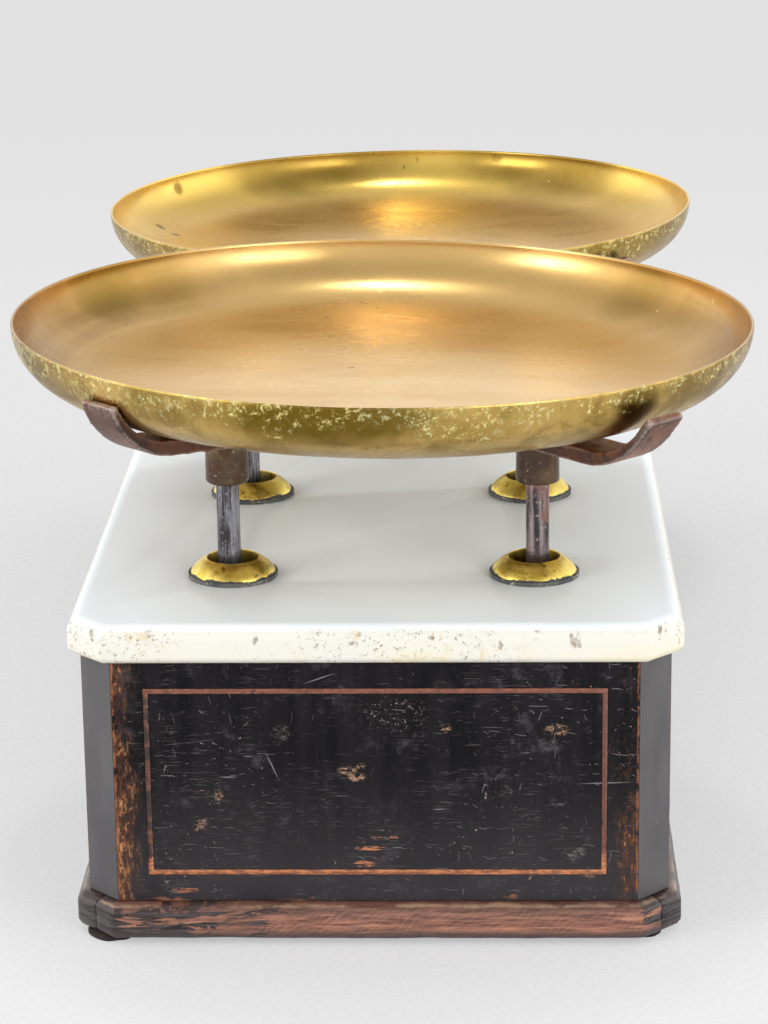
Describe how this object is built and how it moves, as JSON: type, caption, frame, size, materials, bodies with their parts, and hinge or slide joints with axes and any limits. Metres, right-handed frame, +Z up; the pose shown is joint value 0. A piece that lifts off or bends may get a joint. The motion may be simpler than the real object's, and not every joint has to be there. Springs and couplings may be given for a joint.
{
  "type": "bakers scale",
  "caption": "Counter balance with loose shallow brass pans on iron spiders; their posts pass through brass collars in a marble top to a parallel-motion beam in a long wooden case.",
  "frame": {"origin": "middle of the overall box, on the plane that the pads stand on", "axes": "+Y from the front pan to the rear pan, +X to the right as seen from the front pan, +Z up"},
  "size_m": [0.302, 0.6735, 0.2254],
  "materials": {
    "ebonised_panel": "satin black lacquer, scratched and worn",
    "ebonised_plinth": "black lacquer worn back to red-brown wood",
    "ebonised_corner": "satin dark grey",
    "inlay_wood": "satin, orange-brown",
    "board_wood": "plain",
    "pad_leather": "worn, fibrous",
    "marble": "polished, fine grey veins",
    "collar_brass": "bright, worn",
    "seat_metal": "matt grey",
    "pan_brass": "satin inside, tarnished outside",
    "post_steel": "turned, lightly rusted",
    "ferrule_iron": "turned, dull",
    "spider_iron": "dark red-brown patina",
    "works_iron": "dull",
    "bright_steel": "ground"
  },
  "bodies": {
    "case": {"base_board": "board_wood", "plinth_front": "ebonised_plinth", "plinth_rear": "ebonised_plinth", "plinth_left": "ebonised_plinth", "plinth_right": "ebonised_plinth", "panel_front": "ebonised_panel", "panel_rear": "ebonised_panel", "panel_left": "ebonised_panel", "panel_right": "ebonised_panel", "corner_front_left": "ebonised_corner", "corner_front_right": "ebonised_corner", "corner_rear_left": "ebonised_corner", "corner_rear_right": "ebonised_corner", "inlay_front": "inlay_wood", "inlay_rear": "inlay_wood", "inlay_left": "inlay_wood", "inlay_right": "inlay_wood", "feet": "pad_leather", "marble_top": "marble", "front_collar_1": "collar_brass", "front_collar_2": "collar_brass", "front_collar_3": "collar_brass", "front_collar_4": "collar_brass", "rear_collar_1": "collar_brass", "rear_collar_2": "collar_brass", "rear_collar_3": "collar_brass", "rear_collar_4": "collar_brass", "collar_seats": "seat_metal", "stand": "works_iron", "stand_bearings": "bright_steel", "stand_screws": "bright_steel", "stop_pads": "pad_leather", "stay_pin": "bright_steel"},
    "beam": {"beam": "works_iron", "middle_knife": "bright_steel", "end_knives": "bright_steel"},
    "stay": {"stay": "works_iron"},
    "front_carrier": {"front_carrier": "works_iron", "front_bearings": "bright_steel", "front_post_1": "post_steel", "front_post_2": "post_steel", "front_post_3": "post_steel", "front_post_4": "post_steel", "front_ferrules": "ferrule_iron", "front_bar_lower": "spider_iron", "front_bar_upper": "spider_iron", "front_link_pin": "bright_steel"},
    "rear_carrier": {"rear_carrier": "works_iron", "rear_bearings": "bright_steel", "rear_post_1": "post_steel", "rear_post_2": "post_steel", "rear_post_3": "post_steel", "rear_post_4": "post_steel", "rear_ferrules": "ferrule_iron", "rear_bar_lower": "spider_iron", "rear_bar_upper": "spider_iron", "rear_link_pin": "bright_steel", "tare_slug": "bright_steel"},
    "front_pan": {"front_pan": "pan_brass"},
    "rear_pan": {"rear_pan": "pan_brass"}
  },
  "joints": [
    {"name": "beam_tilt", "type": "hinge", "parent": "case", "child": "beam", "pos_m": [0.002, 0, 0.078], "axis": [1, 0, 0], "range_deg": [0, 8.16]},
    {"name": "front_carrier_hinge", "type": "hinge", "parent": "beam", "child": "front_carrier", "pos_m": [0.002, -0.18675, 0.09132], "axis": [1, 0, 0], "range_deg": [-8.16, 0]},
    {"name": "rear_carrier_hinge", "type": "hinge", "parent": "beam", "child": "rear_carrier", "pos_m": [0.002, 0.18675, 0.06468], "axis": [1, 0, 0], "range_deg": [-8.16, 0]},
    {"name": "stay_tilt", "type": "hinge", "parent": "case", "child": "stay", "pos_m": [0.002, 0, 0.04], "axis": [1, 0, 0], "range_deg": [0, 8.16]},
    {"name": "front_pan_lift", "type": "slide", "parent": "front_carrier", "child": "front_pan", "axis": [0, 0, 1], "range_m": [0, 0.1]},
    {"name": "rear_pan_lift", "type": "slide", "parent": "rear_carrier", "child": "rear_pan", "axis": [0, 0, 1], "range_m": [0, 0.1]}
  ],
  "couplings": [
    {"joint": "front_carrier_hinge", "follows": "beam_tilt", "ratio": -1},
    {"joint": "rear_carrier_hinge", "follows": "beam_tilt", "ratio": -1},
    {"joint": "stay_tilt", "follows": "beam_tilt", "ratio": 1}
  ]
}
